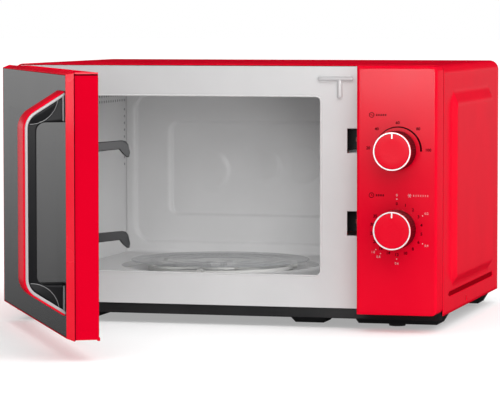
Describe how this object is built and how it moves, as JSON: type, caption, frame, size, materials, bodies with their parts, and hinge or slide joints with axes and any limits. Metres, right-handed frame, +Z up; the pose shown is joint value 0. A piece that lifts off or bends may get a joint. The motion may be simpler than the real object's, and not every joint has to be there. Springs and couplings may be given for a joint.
{
  "type": "microwave oven",
  "caption": "Compact countertop microwave oven with two dials, a glass turntable and a left-hinged door that stands open, with a bow handle and twin latch hooks.",
  "frame": {"origin": "on the surface that the feet stand on, on the middle of the case's width, below the door's hinge line; with the door open as drawn this is the middle of the whole footprint", "axes": "+X to the right seen from the front, +Y from the door towards the back, +Z up"},
  "size_m": [0.45, 0.6499, 0.2585],
  "materials": {
    "red_paint": "gloss",
    "grey_paint": "satin",
    "black_paint": "satin",
    "rear_paint": "matt",
    "rubber": "matt",
    "red_plastic": "gloss",
    "ivory_plastic": "matt",
    "dark_plastic": "satin",
    "red_button": "satin",
    "steel": "satin",
    "knob_red": "gloss",
    "silver_trim": "satin",
    "aluminium": "satin",
    "zinc_steel": "satin",
    "mica": "matt",
    "laminations": "matt",
    "copper_wire": "satin",
    "black_plastic": "satin",
    "board_green": "satin",
    "white_plastic": "satin",
    "bulb_glass": "gloss",
    "clear_glass": "gloss",
    "tinted_glass": "gloss",
    "clear_film": "gloss"
  },
  "bodies": {
    "oven_body": {"outer_cabinet": "red_paint", "face_plate": "grey_paint", "latch_plate": "grey_paint", "cavity_wrapper": "grey_paint", "cavity_floor": "grey_paint", "cavity_back": "grey_paint", "base_plate": "black_paint", "rear_cover": "rear_paint", "rubber_feet": "rubber", "control_panel": "red_plastic", "interlock_bracket": "ivory_plastic", "door_switches": "dark_plastic", "timer_unit": "ivory_plastic", "power_selector": "ivory_plastic", "magnetron": "steel", "magnetron_fins": "aluminium", "waveguide": "zinc_steel", "waveguide_cover": "mica", "transformer_core": "laminations", "transformer_coils": "copper_wire", "high_voltage_capacitor": "aluminium", "high_voltage_diode": "black_plastic", "filter_board": "board_green", "filter_parts": "ivory_plastic", "fan_shroud": "black_plastic", "fan_motor": "zinc_steel", "lamp_socket": "white_plastic", "lamp_bulb": "bulb_glass", "cable_gland": "black_plastic", "turntable_motor": "zinc_steel", "hinge_brackets": "zinc_steel", "case_screws": "steel", "chassis_screws": "steel"},
    "door": {"hinge_pins": "steel", "door_frame": "red_plastic", "door_glass": "tinted_glass", "door_panel": "zinc_steel", "door_window": "clear_film", "choke_cover": "dark_plastic", "latch_pin": "steel", "latch_spring": "steel", "handle_body": "black_plastic", "handle_trim": "silver_trim", "handle_cover": "red_plastic"},
    "latch": {"latch_pawl": "dark_plastic"},
    "timer_dial": {"timer_knob": "knob_red", "timer_knob_ring": "silver_trim", "timer_shaft": "steel"},
    "power_dial": {"power_knob": "knob_red", "power_knob_ring": "silver_trim", "power_shaft": "steel"},
    "turntable": {"glass_turntable": "clear_glass", "drive_coupling": "white_plastic"},
    "roller_support": {"roller_ring": "white_plastic"},
    "wheel_1": {"roller_wheel_1": "white_plastic"},
    "wheel_2": {"roller_wheel_2": "white_plastic"},
    "wheel_3": {"roller_wheel_3": "white_plastic"},
    "fan": {"fan_blade": "black_plastic"},
    "upper_button": {"upper_switch_button": "red_button"},
    "lower_button": {"lower_switch_button": "red_button"}
  },
  "joints": [
    {"name": "door_hinge", "type": "hinge", "parent": "oven_body", "child": "door", "pos_m": [-0.21, 0, 0.1375], "axis": [0, 0, 1], "range_deg": [-38.6, 61.4]},
    {"name": "latch_pivot", "type": "hinge", "parent": "door", "child": "latch", "pos_m": [-0.04421, -0.29572, 0.144], "axis": [0.4787, -0.878, 0], "range_deg": [0, 3], "stiffness_Nm_per_rad": 2, "springref_deg": -2.86},
    {"name": "timer_turn", "type": "hinge", "parent": "oven_body", "child": "timer_dial", "pos_m": [0.181, -0.012, 0.101], "axis": [0, 1, 0], "range_deg": [0, 300]},
    {"name": "power_turn", "type": "hinge", "parent": "oven_body", "child": "power_dial", "pos_m": [0.181, -0.012, 0.177], "axis": [0, 1, 0], "range_deg": [-60, 90]},
    {"name": "turntable_spin", "type": "hinge", "parent": "oven_body", "child": "turntable", "pos_m": [-0.0461, 0.1725, 0.042], "axis": [0, 0, 1], "continuous": true},
    {"name": "roller_support_spin", "type": "hinge", "parent": "oven_body", "child": "roller_support", "pos_m": [-0.0461, 0.1725, 0.04565], "axis": [0, 0, 1], "continuous": true},
    {"name": "fan_spin", "type": "hinge", "parent": "oven_body", "child": "fan", "pos_m": [0.16, 0.296, 0.16], "axis": [0, 1, 0], "continuous": true},
    {"name": "upper_button_press", "type": "slide", "parent": "oven_body", "child": "upper_button", "axis": [0, 1, 0], "range_m": [0, 0.0015], "stiffness_N_per_m": 300},
    {"name": "lower_button_press", "type": "slide", "parent": "oven_body", "child": "lower_button", "axis": [0, 1, 0], "range_m": [0, 0.0015], "stiffness_N_per_m": 300},
    {"name": "wheel_1_spin", "type": "hinge", "parent": "roller_support", "child": "wheel_1", "pos_m": [0.02024, 0.2108, 0.04565], "axis": [0.866, 0.5, 0], "continuous": true},
    {"name": "wheel_2_spin", "type": "hinge", "parent": "roller_support", "child": "wheel_2", "pos_m": [-0.11244, 0.2108, 0.04565], "axis": [-0.866, 0.5, 0], "continuous": true},
    {"name": "wheel_3_spin", "type": "hinge", "parent": "roller_support", "child": "wheel_3", "pos_m": [-0.0461, 0.0959, 0.04565], "axis": [0, -1, 0], "continuous": true}
  ],
  "couplings": [
    {"joint": "roller_support_spin", "follows": "turntable_spin", "ratio": 0.5},
    {"joint": "wheel_1_spin", "follows": "turntable_spin", "ratio": -11.056},
    {"joint": "wheel_2_spin", "follows": "turntable_spin", "ratio": -11.056},
    {"joint": "wheel_3_spin", "follows": "turntable_spin", "ratio": -11.056}
  ]
}
